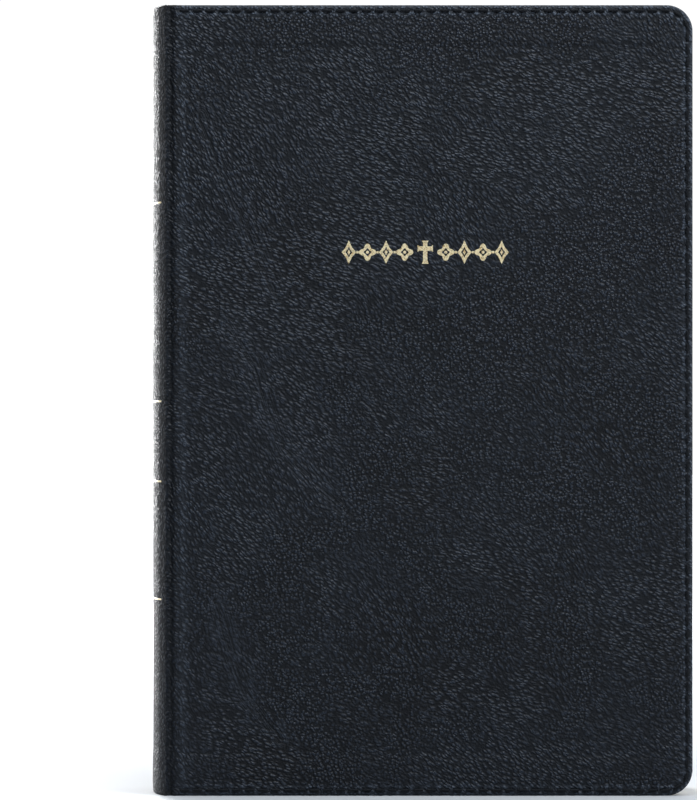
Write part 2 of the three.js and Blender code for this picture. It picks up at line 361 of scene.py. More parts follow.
def creaseLines(shade):
    # long fine folds running beside each crease
    across = shade.number("creaseAcross")
    along = shade.number("creaseAlong")
    near = shade.number("creaseNear")
    sheet = shade.spot(across * 1.9, along * 0.14)
    folds = shade.fit(shade.noise(sheet, 1.0, 2.0), 0.36, 0.62)
    main = 1 - shade.fit(abs(across), 0.0, 1.0)
    return folds, near, main * near


def leatherMaterial():
    look = leatherLook
    shade = Shade("navyLeather")
    place = shade.place("restPlace")
    pebble = leatherGrain(shade, place)
    folds, near, main = creaseLines(shade)
    height = pebble + (folds * 0.85 + pebble * 0.4 - pebble) * near * 0.3
    height = height - main * 0.2
    uneven = shade.noise(place, 0.9, 2.0)
    height = height + (uneven - 0.5) * 0.6
    pores = shade.noise(place, 5.5, 2.0)
    tone = shade.noise(place, 0.03, 2.0)
    grain = shade.fit(height, 0.15, 0.95)
    # painted shade: the pebble valleys are painted darker than the tops
    base = shade.colours(grain, look["valleyShade"], look["top"])
    base = shade.colours(shade.fit(tone, 0.3, 0.7, 0.0, 0.12), base, look["worn"])
    # painted highlight: the crests of the fine folds beside the creases are painted lighter
    base = shade.colours(shade.fit(folds, 0.7, 1.0) * near * 0.1, base, look["wearAndHighlightTint"])
    # painted shade: the needle holes at the two ends of a stitch are painted dark, and so is the shaded
    # channel they lie in
    along = shade.number("alongStitch")
    inFrom = abs(shade.number("stitchOffset"))
    paintedHoleShade = shade.between(along, 0.3, 0.38, 0.42, 0.48) * (1 - shade.fit(inFrom, 0.2, 0.6))
    # edge wear and painted highlight: the rim is worn lighter, while the lip inside the stitches and the gaps
    # between them are painted lighter
    edgeWearAndHighlightMask = shade.number("edgeWearAndHighlight") * shade.fit(grain, 0.1, 0.9, 0.3, 1.0)
    base = shade.colours(edgeWearAndHighlightMask, base, look["wearAndHighlightTint"])
    base = shade.colours(shade.number("seamShade"), base, look["valleyShade"])
    base = shade.colours(paintedHoleShade * 0.7, base, look["valleyShade"])
    rough = shade.fit(grain, 0.0, 1.0, look["roughness"] + 0.2, look["roughness"] - 0.06)
    rough = rough + (pores - 0.5) * 0.1
    first = shade.bump(height, look["grainDepth"], 1.0)
    second = shade.bump(pores, look["poreDepth"], 0.5, first)
    return shade.finish(Base_Color=base, Roughness=rough, Normal=second, Specular_IOR_Level=look["shine"])


def threadMaterial(name, colour, dark, shine=0.3):
    shade = Shade(name)
    place = shade.place()
    twist = shade.wave(shade.turned(place, (0.4, 0.6, 0.5)), 2.6, 0.6)
    fuzz = shade.noise(place, 9.0, 2.0)
    base = shade.colours(shade.fit(twist * 0.7 + fuzz * 0.4, 0.2, 0.9), dark, colour)
    return shade.finish(Base_Color=base, Roughness=shade.fit(fuzz, 0.2, 0.8, 0.55, 0.8),
                        Normal=shade.bump(twist, 0.08, 0.8), Specular_IOR_Level=shine)


def foilMaterial():
    shade = Shade("goldFoil")
    place = shade.place()
    crinkle = shade.noise(place, 1.1, 4.0, 0.6)
    dents = shade.cells(place, 1.4, "SMOOTH_F1")
    worn = shade.fit(shade.noise(place, 3.2, 3.0), 0.32, 0.5)
    base = shade.colours(worn, tint(196, 156, 84), tint(255, 240, 198))
    rough = shade.fit(crinkle, 0.3, 0.7, 0.22, 0.42)
    bump = shade.bump(crinkle * 0.7 + dents * 0.5, 0.16, 0.8)
    return shade.finish(Base_Color=base, Roughness=rough, Metallic=0.35, Normal=bump)


printShape = {
    "line": 2.7,             # from one row of print to the next
    "ink": tint(120, 114, 104),
    "columns": [(-63.0, 0.5), (6.5, 68.0)],
    "tail": 20.0,
    "head": 214.0,
}


def printMask(shade, place):
    # soft grey strokes in two columns, with no letters in them
    shape = printShape
    x, _, z = shade.apart(place)
    row = z / shape["line"]
    rowNumber = shade.maths("FLOOR", row)
    stroke = shade.between(row - rowNumber, 0.22, 0.34, 0.58, 0.7)
    spot = shade.spot(x, rowNumber * 5.3)
    words = shade.fit(shade.noise(spot, 0.75, 0.0), 0.4, 0.46)
    shapes = shade.fit(shade.noise(spot, 3.4, 1.0), 0.3, 0.6, 0.45, 1.0)
    across = 0.0
    for low, high in shape["columns"]:
        ragged = shade.noise(shade.spot(rowNumber * 3.1, low), 1.0, 0.0)
        last = high - shade.fit(ragged, 0.62, 0.7) * 22
        column = shade.fit(x, low - 0.2, low + 0.2) * (last > x)
        across = column + across
    tall = shade.between(z, shape["tail"] - 0.2, shape["tail"] + 0.2, shape["head"], shape["head"] + 0.3)
    return stroke * words * shapes * across * tall


def paperMaterial():
    shade = Shade("biblePaper")
    place = shade.place("restPlace")
    fibre = shade.noise(place, 1.6, 4.0)
    cloud = shade.noise(place, 0.05, 3.0)
    base = shade.colours(shade.fit(cloud, 0.3, 0.7), tint(240, 235, 220), tint(245, 241, 229))
    base = shade.colours(shade.fit(fibre, 0.3, 0.8, 0.0, 0.2), base, tint(226, 218, 198))
    base = shade.colours(printMask(shade, place) * 0.75, base, printShape["ink"])
    return shade.finish(Base_Color=base, Roughness=shade.fit(fibre, 0.2, 0.8, 0.7, 0.85),
                        Normal=shade.bump(fibre, 0.02, 0.5))


def giltMaterial():
    # gilding on the cut edges: a thin metal film over packed leaves
    shade = Shade("giltEdge")
    place = shade.place("restPlace")
    leaves = shade.noise(shade.scaled(place, (0.008, 9.0, 0.008)), 1.0, 2.0)
    worn = shade.fit(shade.noise(place, 0.5, 4.0), 0.25, 0.45)
    base = shade.colours(worn, tint(216, 189, 134), tint(226, 200, 146))
    base = shade.colours(shade.fit(leaves, 0.4, 0.6, 0.0, 0.32), base, tint(168, 134, 80))
    return shade.finish(Base_Color=base, Roughness=shade.fit(leaves, 0.3, 0.7, 0.3, 0.42), Metallic=0.8,
                        Normal=shade.bump(leaves, 0.06, 0.7))


def endpaperMaterial(name, attribute=None):
    shade = Shade(name)
    place = shade.place(attribute)
    laid = shade.wave(place, 1.5, 0.8, "Z")
    fibre = shade.noise(place, 2.4, 4.0)
    base = shade.colours(shade.fit(fibre, 0.3, 0.75), tint(22, 27, 36), tint(36, 43, 55))
    return shade.finish(Base_Color=base, Roughness=shade.fit(fibre, 0.2, 0.8, 0.62, 0.8),
                        Normal=shade.bump(laid * 0.5 + fibre, 0.05, 0.6))


def fibreMaterial(name, dark, light, roughness, scale=1.4, depth=0.04):
    # board, lining, kraft paper: matted fibres and specks
    shade = Shade(name)
    place = shade.place()
    fibre = shade.noise(place, scale, 5.0, 0.6)
    speck = shade.fit(shade.noise(place, scale * 5, 2.0), 0.6, 0.75)
    base = shade.colours(shade.fit(fibre, 0.3, 0.7), dark, light)
    base = shade.colours(speck * 0.4, base, dark)
    rough = shade.fit(fibre, 0.2, 0.8, roughness - 0.08, roughness + 0.06)
    return shade.finish(Base_Color=base, Roughness=rough, Normal=shade.bump(fibre, depth, 0.6))


def mullMaterial():
    # open gauze: threads up and across
    shade = Shade("mullCloth")
    place = shade.place()
    up = shade.wave(place, 0.55, 0.2, "Y")
    across = shade.wave(place, 0.55, 0.2, "Z")
    weave = shade.maths("MAXIMUM", up, across)
    base = shade.colours(shade.fit(weave, 0.4, 0.9), tint(120, 108, 84), tint(214, 206, 186))
    return shade.finish(Base_Color=base, Roughness=shade.fit(weave, 0.0, 1.0, 0.95, 0.8),
                        Normal=shade.bump(weave, 0.12, 0.8))


print("materials")
leather = leatherMaterial()
coverThread = threadMaterial("coverThread", tint(22, 27, 34), tint(8, 10, 14), 0.2)
sewingLinen = threadMaterial("sewingLinen", tint(232, 226, 208), tint(150, 140, 118))
foil = foilMaterial()
paper = paperMaterial()
gilt = giltMaterial()
flyPaper = endpaperMaterial("flyleafPaper", "restPlace")
pastedPaper = endpaperMaterial("pastedPaper")
boardFibre = fibreMaterial("boardFibre", tint(112, 98, 74), tint(160, 146, 120), 0.85)
liningFibre = fibreMaterial("liningPaper", tint(44, 46, 52), tint(66, 68, 74), 0.85)
kraftFibre = fibreMaterial("kraftPaper", tint(140, 104, 62), tint(184, 146, 98), 0.82)
mullCloth = mullMaterial()


coverShape = {
    "cornerRadius": 7.8,
    "rimShare": 0.48,        # the round of a rim, as a share of the thickness
    "skin": 1.05,            # leather where there is no board
    "fullThick": 2.68,       # board, leather and turn-in together
    "seamX": book["hingeX"] - 0.05,
    "grooveX": book["hingeX"] + 0.75,
    "grooveDepth": 0.75,
    "grooveWidth": 1.0,
    "stitchDip": 0.26,
    "stitchDipWidth": 0.5,
    "lip": 0.16,             # leather puffed up between stitches
    "turnInLine": 11.6,
    "turnInRise": 0.26,
    "swell": 0.28,
    "pitch": 1.2,
}
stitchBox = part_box("front_stitching")
stitches = {
    "pitch": 3.87,
    "length": 2.85,
    "width": 0.95,
    "height": 0.55,
    "inset": book["foreX"] - stitchBox[1].x / mm + 0.1,
    "start": 5.0,            # from the hinge line to the first stitch
    "sink": -0.3,
}
# the run from the middle of the fore-edge to the first stitch, and a whole number of stitches in it
stitches["halfRun"] = (book["height"] / 2 - coverShape["cornerRadius"]
                       + (coverShape["cornerRadius"] - stitches["inset"]) * math.pi / 2
                       + book["foreX"] - coverShape["cornerRadius"] - book["hingeX"] - stitches["start"])
stitches["count"] = int(round(stitches["halfRun"] / stitches["pitch"]))
stitches["pitch"] = stitches["halfRun"] / stitches["count"]
# long soft creases across the front, as places in millimetres from the book's middle and tail
frontCreases = [
    [(-66, 202), (-61.4, 189), (-55.5, 177), (-50.4, 164), (-43.6, 150)],
    [(-57.5, 140), (-50.4, 129), (-46.2, 116), (-40.9, 103), (-30.8, 92), (-22.7, 85)],
    [(-61.4, 58), (-56.9, 43), (-52.5, 31), (-47.4, 24), (-42, 16.5)],
]


def edgeDistance(x, z):
    # how far in from the head, fore-edge or tail, round the corners
    radius = coverShape["cornerRadius"]
    over = x - (book["foreX"] - radius)
    half = book["height"] / 2
    rise = np.abs(z - half) - (half - radius)
    straight = np.minimum(book["foreX"] - x, half - np.abs(z - half))
    return np.where((over > 0) & (rise > 0), radius - np.hypot(np.maximum(over, 0), np.maximum(rise, 0)),
                    straight)


def alongEdge(x, z):
    # the run of the stitch line from the middle of the fore-edge
    radius = coverShape["cornerRadius"]
    half = book["height"] / 2
    over = x - (book["foreX"] - radius)
    rise = np.abs(z - half) - (half - radius)
    turn = np.arctan2(np.maximum(rise, 1e-6), np.maximum(over, 1e-6))
    quarter = (radius - stitches["inset"])
    onSide = (book["foreX"] - x) < (half - np.abs(z - half))
    run = np.where(onSide, np.abs(z - half), half - radius + quarter * math.pi / 2 - over)
    return np.where((over > 0) & (rise > 0), half - radius + quarter * turn, run)


def creasePlaces(x, z, creases):
    # for each place: how far across from the nearest crease, how far along it, and how near it is
    across, along = np.full_like(x, 99.0), np.zeros_like(x)
    for number, line in enumerate(creases):
        run = 40.0 * number
        for (x0, z0), (x1, z1) in zip(line[:-1], line[1:]):
            length = math.hypot(x1 - x0, z1 - z0)
            ux, uz = (x1 - x0) / length, (z1 - z0) / length
            t = np.clip((x - x0) * ux + (z - z0) * uz, 0, length)
            away = np.hypot(x - x0 - t * ux, z - z0 - t * uz)
            sign = np.where((x - x0) * uz - (z - z0) * ux > 0, 1.0, -1.0)
            closer = away < np.abs(across)
            across = np.where(closer, away * sign, across)
            along = np.where(closer, run + t, along)
            run += length
    return across, along, 1 - smooth(0.8, 6.5, np.abs(across))


def localThickness(x):
    return coverShape["skin"] + (coverShape["fullThick"] - coverShape["skin"]) * smooth(
        book["hingeX"] + 1.2, book["hingeX"] + 3.4, x)


def coverDepth(x, z, side):
    # how far the outer face lies in from the book's front or back face
    shape = coverShape
    d = edgeDistance(x, z)
    away = x - book["hingeX"]
    body = smooth(1.5, 6.0, away)
    depth = roundFall(localThickness(x) * coverShape["rimShare"], d)
    depth = depth + shape["grooveDepth"] * bell(x, shape["grooveX"], shape["grooveWidth"])
    pucker = 0.5 + 0.5 * np.cos(2 * math.pi * alongEdge(x, z) / stitches["pitch"])
    dip = shape["stitchDip"] * bell(d, stitches["inset"], shape["stitchDipWidth"]) * (0.2 + 0.8 * pucker)
    lip = shape["lip"] * bell(d, stitches["inset"] + 1.0, 0.55) * (1 - pucker)
    depth = depth + (dip - lip) * body
    depth = depth + 0.14 * (1 - smooth(2.4, 5.0, d)) * body
    rise = shape["turnInRise"] * (1 - smooth(shape["turnInLine"] - 0.9, shape["turnInLine"] + 0.9, d))
    depth = depth + (shape["turnInRise"] - rise) * body
    wave = waviness(x, z, 11 if side < 0 else 12, 58) * 0.5 + 0.5
    depth = depth + shape["swell"] * wave * smooth(3, 30, d) * body
    depth = depth + 0.05 * waviness(x, z, 21 if side < 0 else 22, 13) * smooth(3, 8, d) * body
    if side < 0:
        across, _, _ = creasePlaces(x, z, frontCreases)
        depth = depth + (0.14 * bell(across, 0, 1.3) - 0.1 * bell(across, 3.0, 1.8)) * body
    return np.maximum(depth, 0)


def roundedGrid(x, z, corner, foreX, low, high):
    # a grid of places whose two fore-edge corners are bent to arcs
    X, Z = np.meshgrid(x, z, indexing="ij")
    a = np.clip((X - (foreX - corner)) / corner, 0, 1)
    bHigh = np.clip((Z - (high - corner)) / corner, 0, 1)
    bLow = np.clip((low + corner - Z) / corner, 0, 1)
    b = bHigh + bLow
    newX = np.where((a > 0) & (b > 0), foreX - corner + corner * a * np.sqrt(1 - b * b / 2), X)
    lift = corner * b * np.sqrt(1 - a * a / 2)
    newZ = np.where(bHigh > 0, high - corner + lift, np.where(bLow > 0, low + corner - lift, Z))
    newZ = np.where((a > 0) & (b > 0), newZ, Z)
    return newX, newZ


def edgeRun(radius):
    # places in from an edge: close over the round, then over the stitch line, then opening out
    turn = np.linspace(0, math.pi / 2, 7)
    overStitches = [1.6, 1.85, 2.1, 2.35, 2.6, 2.9, 3.25, 3.7, 4.2, 4.9, 5.8]
    return np.concatenate([radius * (1 - np.cos(turn)), overStitches, np.arange(6.9, 11, 1.1),
                           [11.2, 11.7, 12.2, 12.7]])


def buildCase(label, side):
    shape = coverShape
    inward = edgeRun(shape["fullThick"] * shape["rimShare"])
    foreRun = book["foreX"] - inward[::-1]
    jointRun = steps(shape["seamX"], shape["seamX"] + 5, 0.26)
    # between the close runs at the edges, three places to a stitch
    third = stitches["pitch"] / 3
    ends = book["hingeX"] + stitches["start"] + third * np.arange(400)
    ends = ends[(ends > jointRun[-1] + 0.5) & (ends < foreRun[0] - 0.5)]
    x = joined(jointRun, ends, foreRun)
    upward = book["height"] / 2 + third * np.arange(-200, 200)
    upward = upward[(upward > inward[-1] + 0.5) & (upward < book["height"] - inward[-1] - 0.5)]
    z = joined(inward, upward, book["height"] - inward[::-1])
    X, Z = roundedGrid(x, z, shape["cornerRadius"], book["foreX"], 0, book["height"])
    depth = coverDepth(X, Z, side)
    outer = np.stack([X, side * (book["halfThick"] - depth), Z], -1)
    thick = localThickness(X)
    d = edgeDistance(X, Z)
    back = thick - roundFall(thick * shape["rimShare"], d)
    inGroove = bell(X, shape["grooveX"], shape["grooveWidth"])
    body = smooth(1.5, 6, X - book["hingeX"])
    ledge = 0.12 * bell(d, stitches["inset"], 0.5) * body
    back = np.maximum(back + shape["grooveDepth"] * inGroove - ledge, depth + 0.06)
    inner = np.stack([X, side * (book["halfThick"] - back), Z], -1)
    piece = addSlab(f"{label}_cover_leather", outer, inner, [], leather, 60)
    seam = bell(d, stitches["inset"], 0.4) * body * 0.1
    seam = seam + 0.16 * bell(d, shape["turnInLine"] - 0.4, 0.7) * smooth(4, 9, X - book["hingeX"])
    keepBoth(piece, "seamShade", seam + inGroove * 0.7)
    phase = alongEdge(X, Z) / stitches["pitch"]
    offset = d - stitches["inset"]
    keepBoth(piece, "alongStitch", np.abs(phase - np.round(phase)))
    keepBoth(piece, "stitchOffset", offset)
    across, along, near = creasePlaces(X, Z, frontCreases)
    keepBoth(piece, "creaseAcross", across)
    keepBoth(piece, "creaseAlong", along)
    # only the front's outer face is creased
    keepBoth(piece, "creaseNear", near if side < 0 else near * 0, 0.0)
    # the rim is worn lighter; the puffed-up lip inside the stitches and the gaps between stitches get a
    # painted highlight, and a band beside the joint is made lighter
    pucker = 0.5 + 0.5 * np.cos(2 * math.pi * phase)
    shine = 0.6 * bell(d, 0.4, 0.6) + 0.75 * bell(offset, 1.0, 0.5) * (1.15 - pucker)
    shine = shine + 0.45 * bell(offset, 0, 0.5) * (1 - pucker)
    keepBoth(piece, "edgeWearAndHighlight", shine * body + 0.25 * bell(X, shape["seamX"] + 4.6, 1.0), 0.4)
    keepPlace(piece)
    y = side * book["halfThick"] * mm
    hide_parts(f"{label}_leather")
    shape["seamX"] * mm
    (book["hingeX"] + 3.6) * mm
    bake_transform(piece)
    return piece


print("covers")
for coverLabel, coverSide in (("front", -1), ("back", 1)):
    buildCase(coverLabel, coverSide)


spineShape = {
    "skin": 1.05,
    "shoulderX": book["hingeX"] - 0.45,
    "shoulderStart": 4.8,    # where the round of the shoulder begins, in from the front
    "shoulderReach": (0.42, 0.5),
    "bow": 4.0,
    "pitch": 1.3,
}


def spineProfile():
    # half of the outer profile, from the middle of the spine to the bottom of the front groove
    half = book["halfThick"]
    radius = (half ** 2 + spineShape["bow"] ** 2) / (2 * spineShape["bow"])
    centre = book["spineX"] + radius
    endAngle = math.asin((half - spineShape["shoulderStart"]) / radius)
    angles = np.linspace(0, endAngle, 34)
    x = centre - radius * np.cos(angles)
    y = -radius * np.sin(angles)
    start = np.array([x[-1], y[-1]])
    tangent = np.array([math.sin(endAngle), -math.cos(endAngle)])
    shoulder = np.array([spineShape["shoulderX"], -half])
    t = np.linspace(0, 1, 20)[1:, None]
    reach, back = spineShape["shoulderReach"]
    corner = start + tangent * (half + start[1]) / -tangent[1]
    bend = ((1 - t) ** 3 * start + 3 * (1 - t) ** 2 * t * (start + (corner - start) * reach)
            + 3 * (1 - t) * t ** 2 * (shoulder + (corner - shoulder) * back) + t ** 3 * shoulder)
    fallX = np.linspace(shoulder[0], coverShape["seamX"], 10)[1:]
    seamDepth = coverShape["grooveDepth"] * bell(coverShape["seamX"], coverShape["grooveX"],
                                                 coverShape["grooveWidth"])
    share = (fallX - shoulder[0]) / (coverShape["seamX"] - shoulder[0])
    fallY = -half + seamDepth * share ** 2 * (2.2 - 1.2 * share)
    return np.concatenate([np.stack([x, y], 1), bend, np.stack([fallX, fallY], 1)])


def spineLumps(run, z, share):
    # how the leather of the spine wavers, in from its outline
    return 0.1 + 0.16 * (waviness(run * 2, z, 31, 60) * 0.5 + 0.5) * smooth(0, 0.35, share)


def sunkFrom(line, inwardDir, depth, z):
    # a sheet of places lying a depth in from the spine's outline
    return np.stack([line[:, 0, None] + inwardDir[:, 0, None] * depth,
                     line[:, 1, None] + inwardDir[:, 1, None] * depth, z], -1)


def buildSpine():
    half = spineProfile()
    whole = np.concatenate([(half * [1, -1])[:0:-1], half])
    ahead = np.gradient(whole, axis=0)
    ahead /= np.linalg.norm(ahead, axis=1)[:, None]
    inwardDir = np.stack([-ahead[:, 1], ahead[:, 0]], 1)
    if inwardDir[len(whole) // 2][0] < 0:
        inwardDir = -inwardDir
    radius = spineShape["skin"] * coverShape["rimShare"]
    inward = np.concatenate([radius * (1 - np.cos(np.linspace(0, math.pi / 2, 6))),
                             [0.9, 1.4, 2.0, 3.0, 4.2]])
    z = joined(inward, steps(inward[-1], book["height"] - inward[-1], spineShape["pitch"]),
               book["height"] - inward[::-1])
    count = len(whole)
    Z = np.broadcast_to(z, (count, len(z)))
    run = np.concatenate([[0], np.cumsum(np.linalg.norm(np.diff(whole, axis=0), axis=1))])
    S = np.broadcast_to(run[:, None], Z.shape)
    endDistance = np.minimum(Z, book["height"] - Z)
    roundOff = roundFall(radius, endDistance)
    middle = 1 - np.abs(S - run[-1] / 2) / (run[-1] / 2)
    lumps = spineLumps(S, Z, middle)
    turnedIn = 0.1 * smooth(12.8, 11.2, endDistance) * smooth(0, 0.2, middle)
    depth = roundOff + lumps - turnedIn * smooth(0.5, 3, endDistance)
    depth = depth * smooth(0, 0.06, middle) + roundOff * (1 - smooth(0, 0.06, middle))
    thick = spineShape["skin"] - roundOff
    outer = sunkFrom(whole, inwardDir, depth, Z)
    inner = sunkFrom(whole, inwardDir, np.maximum(thick, depth + 0.04), Z)
    piece = addSlab("spine_cover_leather", outer, inner, [], leather, 60)
    keepBoth(piece, "seamShade", bell(np.minimum(S, run[-1] - S), 0, 0.9) * 0.6)
    keepBoth(piece, "stitchOffset", np.full_like(S, 9.0))
    keepPlace(piece)
    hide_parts("spine_leather")
    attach(piece, "spine")
    return whole, inwardDir, run


print("spine")
spineOutline, spineInward, spineRun = buildSpine()


ruleShape = {"width": 0.5, "thick": 0.12, "proud": 0.035, "reach": 0.88}


def buildSpineRules():
    for index in range(1, 5):
        node = f"spine_foil_rule_{index}"
        low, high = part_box(node)
        middle = (low.z + high.z) / 2 / mm
        keep = np.abs(spineOutline[:, 1]) < book["halfThick"] * ruleShape["reach"]
        line = spineOutline[keep]
        inwardDir = spineInward[keep]
        run = spineRun[keep]
        z = np.linspace(-0.5, 0.5, 5) * ruleShape["width"] + middle
        Z = np.broadcast_to(z, (len(line), len(z)))
        S = np.broadcast_to(run[:, None], Z.shape)
        share = 1 - np.abs(S - spineRun[-1] / 2) / (spineRun[-1] / 2)
        depth = spineLumps(S, Z, share) - ruleShape["proud"]
        wobble = 0.03 * waviness(S, Z * 0, 40 + index, 3)
        outer = sunkFrom(line, inwardDir, depth, Z + wobble)
        inner = sunkFrom(line, inwardDir, depth + ruleShape["thick"], Z + wobble)
        piece = addSlab(f"spine_rule_{index}", outer, inner, [], foil, 50)
        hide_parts(node)
        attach(piece, "spine")


buildSpineRules()


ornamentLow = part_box("foil_rule_left")[0]
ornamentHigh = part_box("foil_rule_right")[1]
ornament = {
    "x": (ornamentLow.x + ornamentHigh.x) / 2 / mm,
    "z": (ornamentLow.z + ornamentHigh.z) / 2 / mm,
    "half": (ornamentHigh.x - ornamentLow.x) / 2 / mm,
    "tall": (ornamentHigh.z - ornamentLow.z) / 2 / mm,
    "motifs": 4,
    "ruleStart": 4.0,
    "lozengeWide": 2.1,
    "stroke": 0.95,
    "thick": 0.05,
}


def ringPoints(radius, count, wobble=0.0, petals=4):
    angles = np.linspace(0, 2 * math.pi, count, endpoint=False)
    r = radius * (1 + wobble * np.cos(petals * angles))
    return [(r[i] * math.cos(a), r[i] * math.sin(a)) for i, a in enumerate(angles)]


def crossPoints():
    arm = 0.62
    flare = 0.95
    tall = ornament["tall"]
    bar = tall * 0.32
    reach = tall * 0.66
    right = [(flare, -tall), (arm, -tall * 0.7), (arm, bar - arm), (reach - 0.5, bar - arm),
             (reach, bar - flare), (reach, bar + flare), (reach - 0.5, bar + arm), (arm, bar + arm),
             (arm, tall * 0.84), (flare, tall)]
    return right + [(-x, z) for x, z in reversed(right)]


def lozengePoints(wide, tall):
    pinch = 0.86
    sideX, sideZ = wide * 0.5 * pinch, tall * 0.5 * pinch
    return [(wide, 0), (sideX, sideZ), (0, tall), (-sideX, sideZ),
            (-wide, 0), (-sideX, -sideZ), (0, -tall), (sideX, -sideZ)]


def stampMesh(name, loops):
    # flat filled outlines, then laid on the leather and given a thickness
    curve = bpy.data.curves.new(name, "CURVE")
    curve.dimensions = "2D"
    curve.fill_mode = "BOTH"
    curve.extrude = ornament["thick"] * mm
    curve.bevel_depth = 0.035 * mm
    curve.bevel_resolution = 1
    for loop in loops:
        spline = curve.splines.new("POLY")
        spline.points.add(len(loop) - 1)
        for point, (x, z) in zip(spline.points, loop):
            point.co = (x * mm, z * mm, 0, 1)
        spline.use_cyclic_u = True
    mesh = plainMesh(placed(name, curve))
    cleaned = bmesh.new()
    cleaned.from_mesh(mesh)
    bmesh.ops.remove_doubles(cleaned, verts=cleaned.verts, dist=1e-7)
    bmesh.ops.recalc_face_normals(cleaned, faces=cleaned.faces)
    for vertex in cleaned.verts:
        x, z, lift = vertex.co.x / mm, vertex.co.y / mm, vertex.co.z / mm
        skin = float(coverDepth(np.array([x]), np.array([z]), -1)[0])
        vertex.co = Vector((x, -(book["halfThick"] - skin) - lift + 0.04, z)) * mm
    cleaned.to_mesh(mesh)
    cleaned.free()
    mesh.materials.clear()
    mesh.materials.append(foil)
    return placed(name, mesh)


def shifted(loop, x, z):
    return [(x + px, z + pz) for px, pz in loop]


def beadedLoops(side):
    loops = []
    first = ornament["ruleStart"] + ornament["lozengeWide"]
    last = ornament["half"] - ornament["lozengeWide"]
    centres = np.linspace(first, last, ornament["motifs"])
    halfWide = []
    for i, run in enumerate(centres):
        x = ornament["x"] + side * run
        z = ornament["z"]
        if i % 2 == 0:
            loops.append(shifted(ringPoints(2.05, 40, 0.24), x, z))
            loops.append(shifted(ringPoints(1.0, 24, 0.2)[::-1], x, z))
            loops.append(shifted(ringPoints(0.42, 14), x, z))
            halfWide.append(2.05 * 1.24)
        else:
            tall = ornament["tall"]
            loops.append(shifted(lozengePoints(ornament["lozengeWide"], tall), x, z))
            loops.append(shifted(lozengePoints(1.1, tall * 0.52)[::-1], x, z))
            loops.append(shifted(lozengePoints(0.45, 0.8), x, z))
            halfWide.append(ornament["lozengeWide"])
    thick = 0.3
    for i in range(len(centres) - 1):
        a = centres[i] + halfWide[i] + 0.12
        b = centres[i + 1] - halfWide[i + 1] - 0.12
        if b > a:
            bar = [(a, -thick), (b, -thick), (b, thick), (a, thick)]
            loops.append([(ornament["x"] + side * px, ornament["z"] + pz) for px, pz in bar])
    return loops


def buildOrnament():
    cross = stampMesh("gold_cross", [shifted(crossPoints(), ornament["x"], ornament["z"])])
    left = stampMesh("gold_rule_left", beadedLoops(-1))
    right = stampMesh("gold_rule_right", beadedLoops(1))
    for piece, node in ((cross, "foil_cross"), (left, "foil_rule_left"), (right, "foil_rule_right")):
        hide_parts(node)
        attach(piece, "front_cover")


print("ornament")
buildOrnament()


def nodeTree(name, inputs):
    tree = bpy.data.node_groups.new(name, "GeometryNodeTree")
    tree.interface.new_socket("Geometry", in_out="INPUT", socket_type="NodeSocketGeometry")
    for label, kind, value in inputs:
        socket = tree.interface.new_socket(label, in_out="INPUT", socket_type=kind)
        if value is not None:
            socket.default_value = value
    tree.interface.new_socket("Geometry", in_out="OUTPUT", socket_type="NodeSocketGeometry")
    return tree


def treeNode(tree, kind, settings=None, links=None):
    # a node given as a value stands for its first output
    made = tree.nodes.new(kind)
    for key, value in (settings or {}).items():
        setattr(made, key, value)
    for key, value in (links or {}).items():
        if isinstance(value, bpy.types.Node):
            value = value.outputs[0]
        if isinstance(value, bpy.types.NodeSocket):
            tree.links.new(value, made.inputs[key])
        else:
            made.inputs[key].default_value = value
    return made


def treeMaths(tree, operation, *values):
    return treeNode(tree, "ShaderNodeMath", {"operation": operation}, dict(enumerate(values)))


def alongPath(tree, group, pitch, axis):
    # points at even steps along the path, and the way each one faces
    curve = treeNode(tree, "GeometryNodeMeshToCurve", None, {"Mesh": group.outputs["Geometry"]})
    spaced = treeNode(tree, "GeometryNodeResampleCurve", {"mode": "LENGTH"},
                      {"Curve": curve, "Length": group.outputs[pitch]})
    along = treeNode(tree, "GeometryNodeInputTangent")
    return spaced, treeNode(tree, "FunctionNodeAlignRotationToVector", {"axis": axis}, {"Vector": along})


